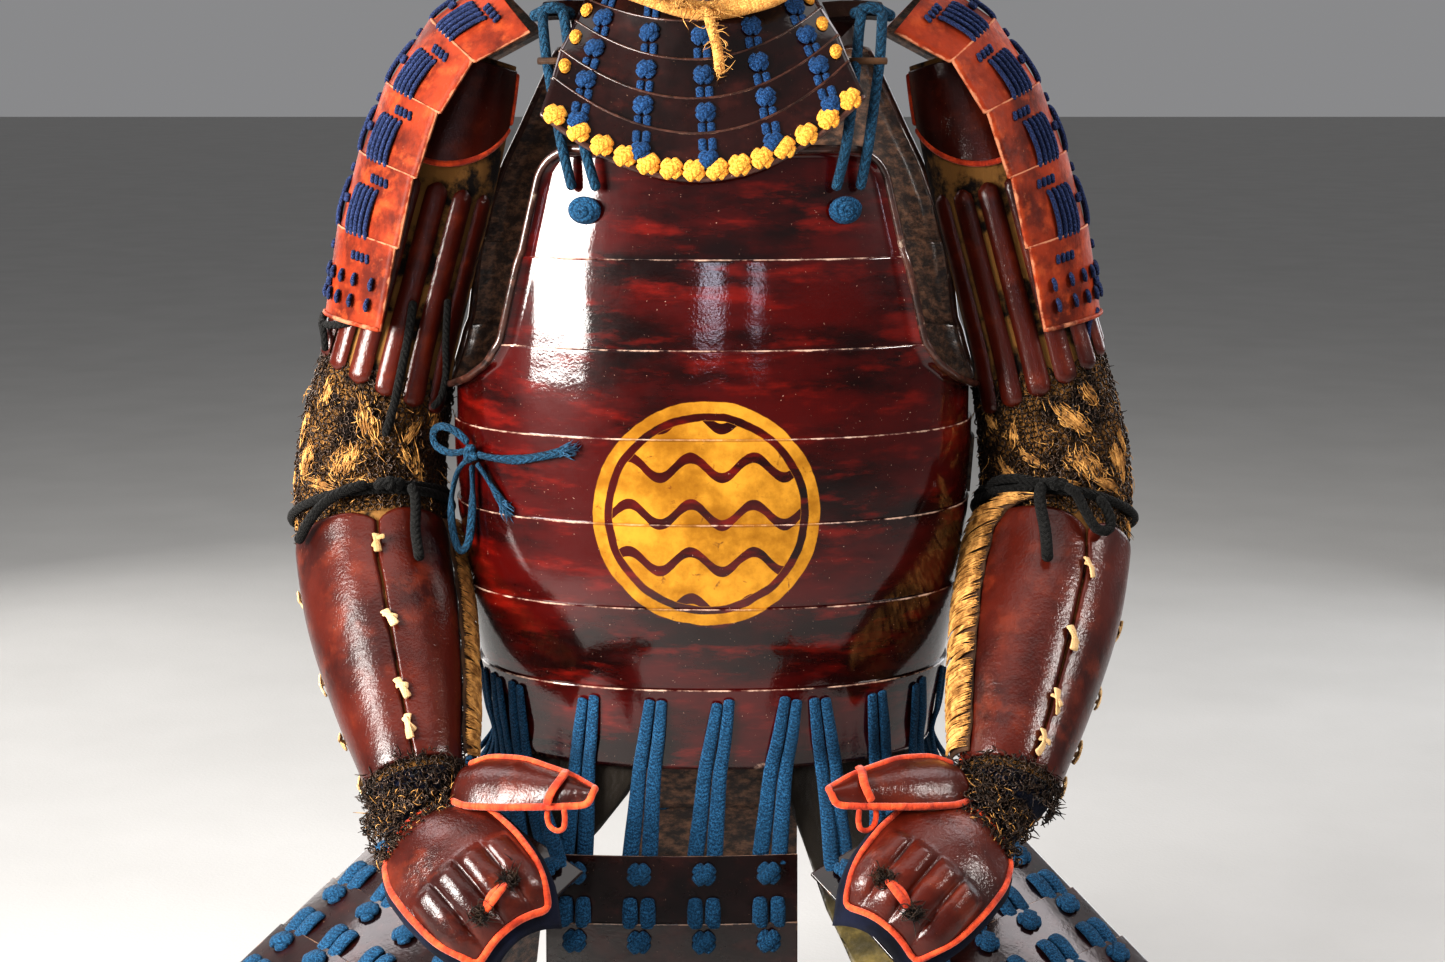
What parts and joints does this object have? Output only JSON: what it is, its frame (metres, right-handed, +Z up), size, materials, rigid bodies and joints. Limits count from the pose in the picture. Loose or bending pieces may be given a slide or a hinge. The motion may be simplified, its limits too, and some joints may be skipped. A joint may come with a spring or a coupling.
{
  "type": "samurai armour",
  "caption": "Worn suit of samurai armour: red plate cuirass with gilt roundel, laced skirt, mailed sleeves, shoulder guards, throat guard, mask and helmet.",
  "frame": {"origin": "between the shoulder straps, at the height of the shoulders that carry the suit", "axes": "+Z up, the front faces -Y, +X towards the wearer's left"},
  "size_m": [0.862, 0.5351, 1.1591],
  "materials": {
    "red_lacquer": "glossy dark red lacquer over iron, mottled with black, worn to grey at the edges",
    "russet_lacquer": "russet lacquered iron, satin",
    "orange_lacquer": "rough orange-red lacquer",
    "dark_lacquer": "brown-black lacquer with worn edges",
    "blue_cord": "braided blue silk",
    "black_cord": "braided black cord",
    "yellow_cord": "frayed yellow silk",
    "sleeve_cloth": "worn silk cloth under black mail",
    "indigo_cloth": "indigo hemp, matte",
    "olive_cloth": "olive silk, crumpled",
    "iron": "blackened, worn"
  },
  "bodies": {
    "root": {"apron_belt": "olive_cloth", "arm_end_right": "black_cord", "chest_cord_left": "blue_cord", "chest_cord_right": "blue_cord", "chest_knot_left": "blue_cord", "chest_knot_right": "blue_cord", "chin_cord": "yellow_cord", "chin_cord_end": "yellow_cord", "cuirass_back": "red_lacquer", "cuirass_front": "red_lacquer", "elbow_end_long_left": "black_cord", "elbow_end_long_right": "black_cord", "elbow_end_short_right": "black_cord", "elbow_loop_left": "black_cord", "elbow_tie_left": "black_cord", "elbow_tie_right": "black_cord", "forearm_back_left": "russet_lacquer", "forearm_back_right": "russet_lacquer", "forearm_inner_left": "russet_lacquer", "forearm_inner_right": "russet_lacquer", "forearm_outer_left": "russet_lacquer", "forearm_outer_right": "russet_lacquer", "hand_cloth_left": "indigo_cloth", "hand_cloth_right": "indigo_cloth", "hand_plate_left": "russet_lacquer", "hand_plate_right": "russet_lacquer", "helmet_bowl": "dark_lacquer", "helmet_visor": "dark_lacquer", "jaw_mask": "dark_lacquer", "neck_guard": "dark_lacquer", "shoulder_cap_left": "russet_lacquer", "shoulder_cap_right": "russet_lacquer", "shoulder_guard_cord_left": "blue_cord", "shoulder_guard_cord_right": "blue_cord", "shoulder_guard_left": "orange_lacquer", "shoulder_guard_right": "orange_lacquer", "shoulder_strap_left": "dark_lacquer", "shoulder_strap_right": "dark_lacquer", "side_hinge": "iron", "side_tie_end_long": "blue_cord", "side_tie_end_short": "blue_cord", "side_tie_knot": "blue_cord", "side_tie_loop_long": "blue_cord", "side_tie_loop_short": "blue_cord", "skirt_back": "dark_lacquer", "skirt_back_left": "dark_lacquer", "skirt_back_right": "dark_lacquer", "skirt_front": "dark_lacquer", "skirt_front_left": "dark_lacquer", "skirt_front_right": "dark_lacquer", "sleeve_left": "sleeve_cloth", "sleeve_right": "sleeve_cloth", "thigh_apron_left": "olive_cloth", "thigh_apron_right": "olive_cloth", "throat_guard": "dark_lacquer", "thumb_plate_left": "russet_lacquer", "thumb_plate_right": "russet_lacquer", "upper_splints_left": "russet_lacquer", "upper_splints_right": "russet_lacquer"}
  },
  "joints": []
}
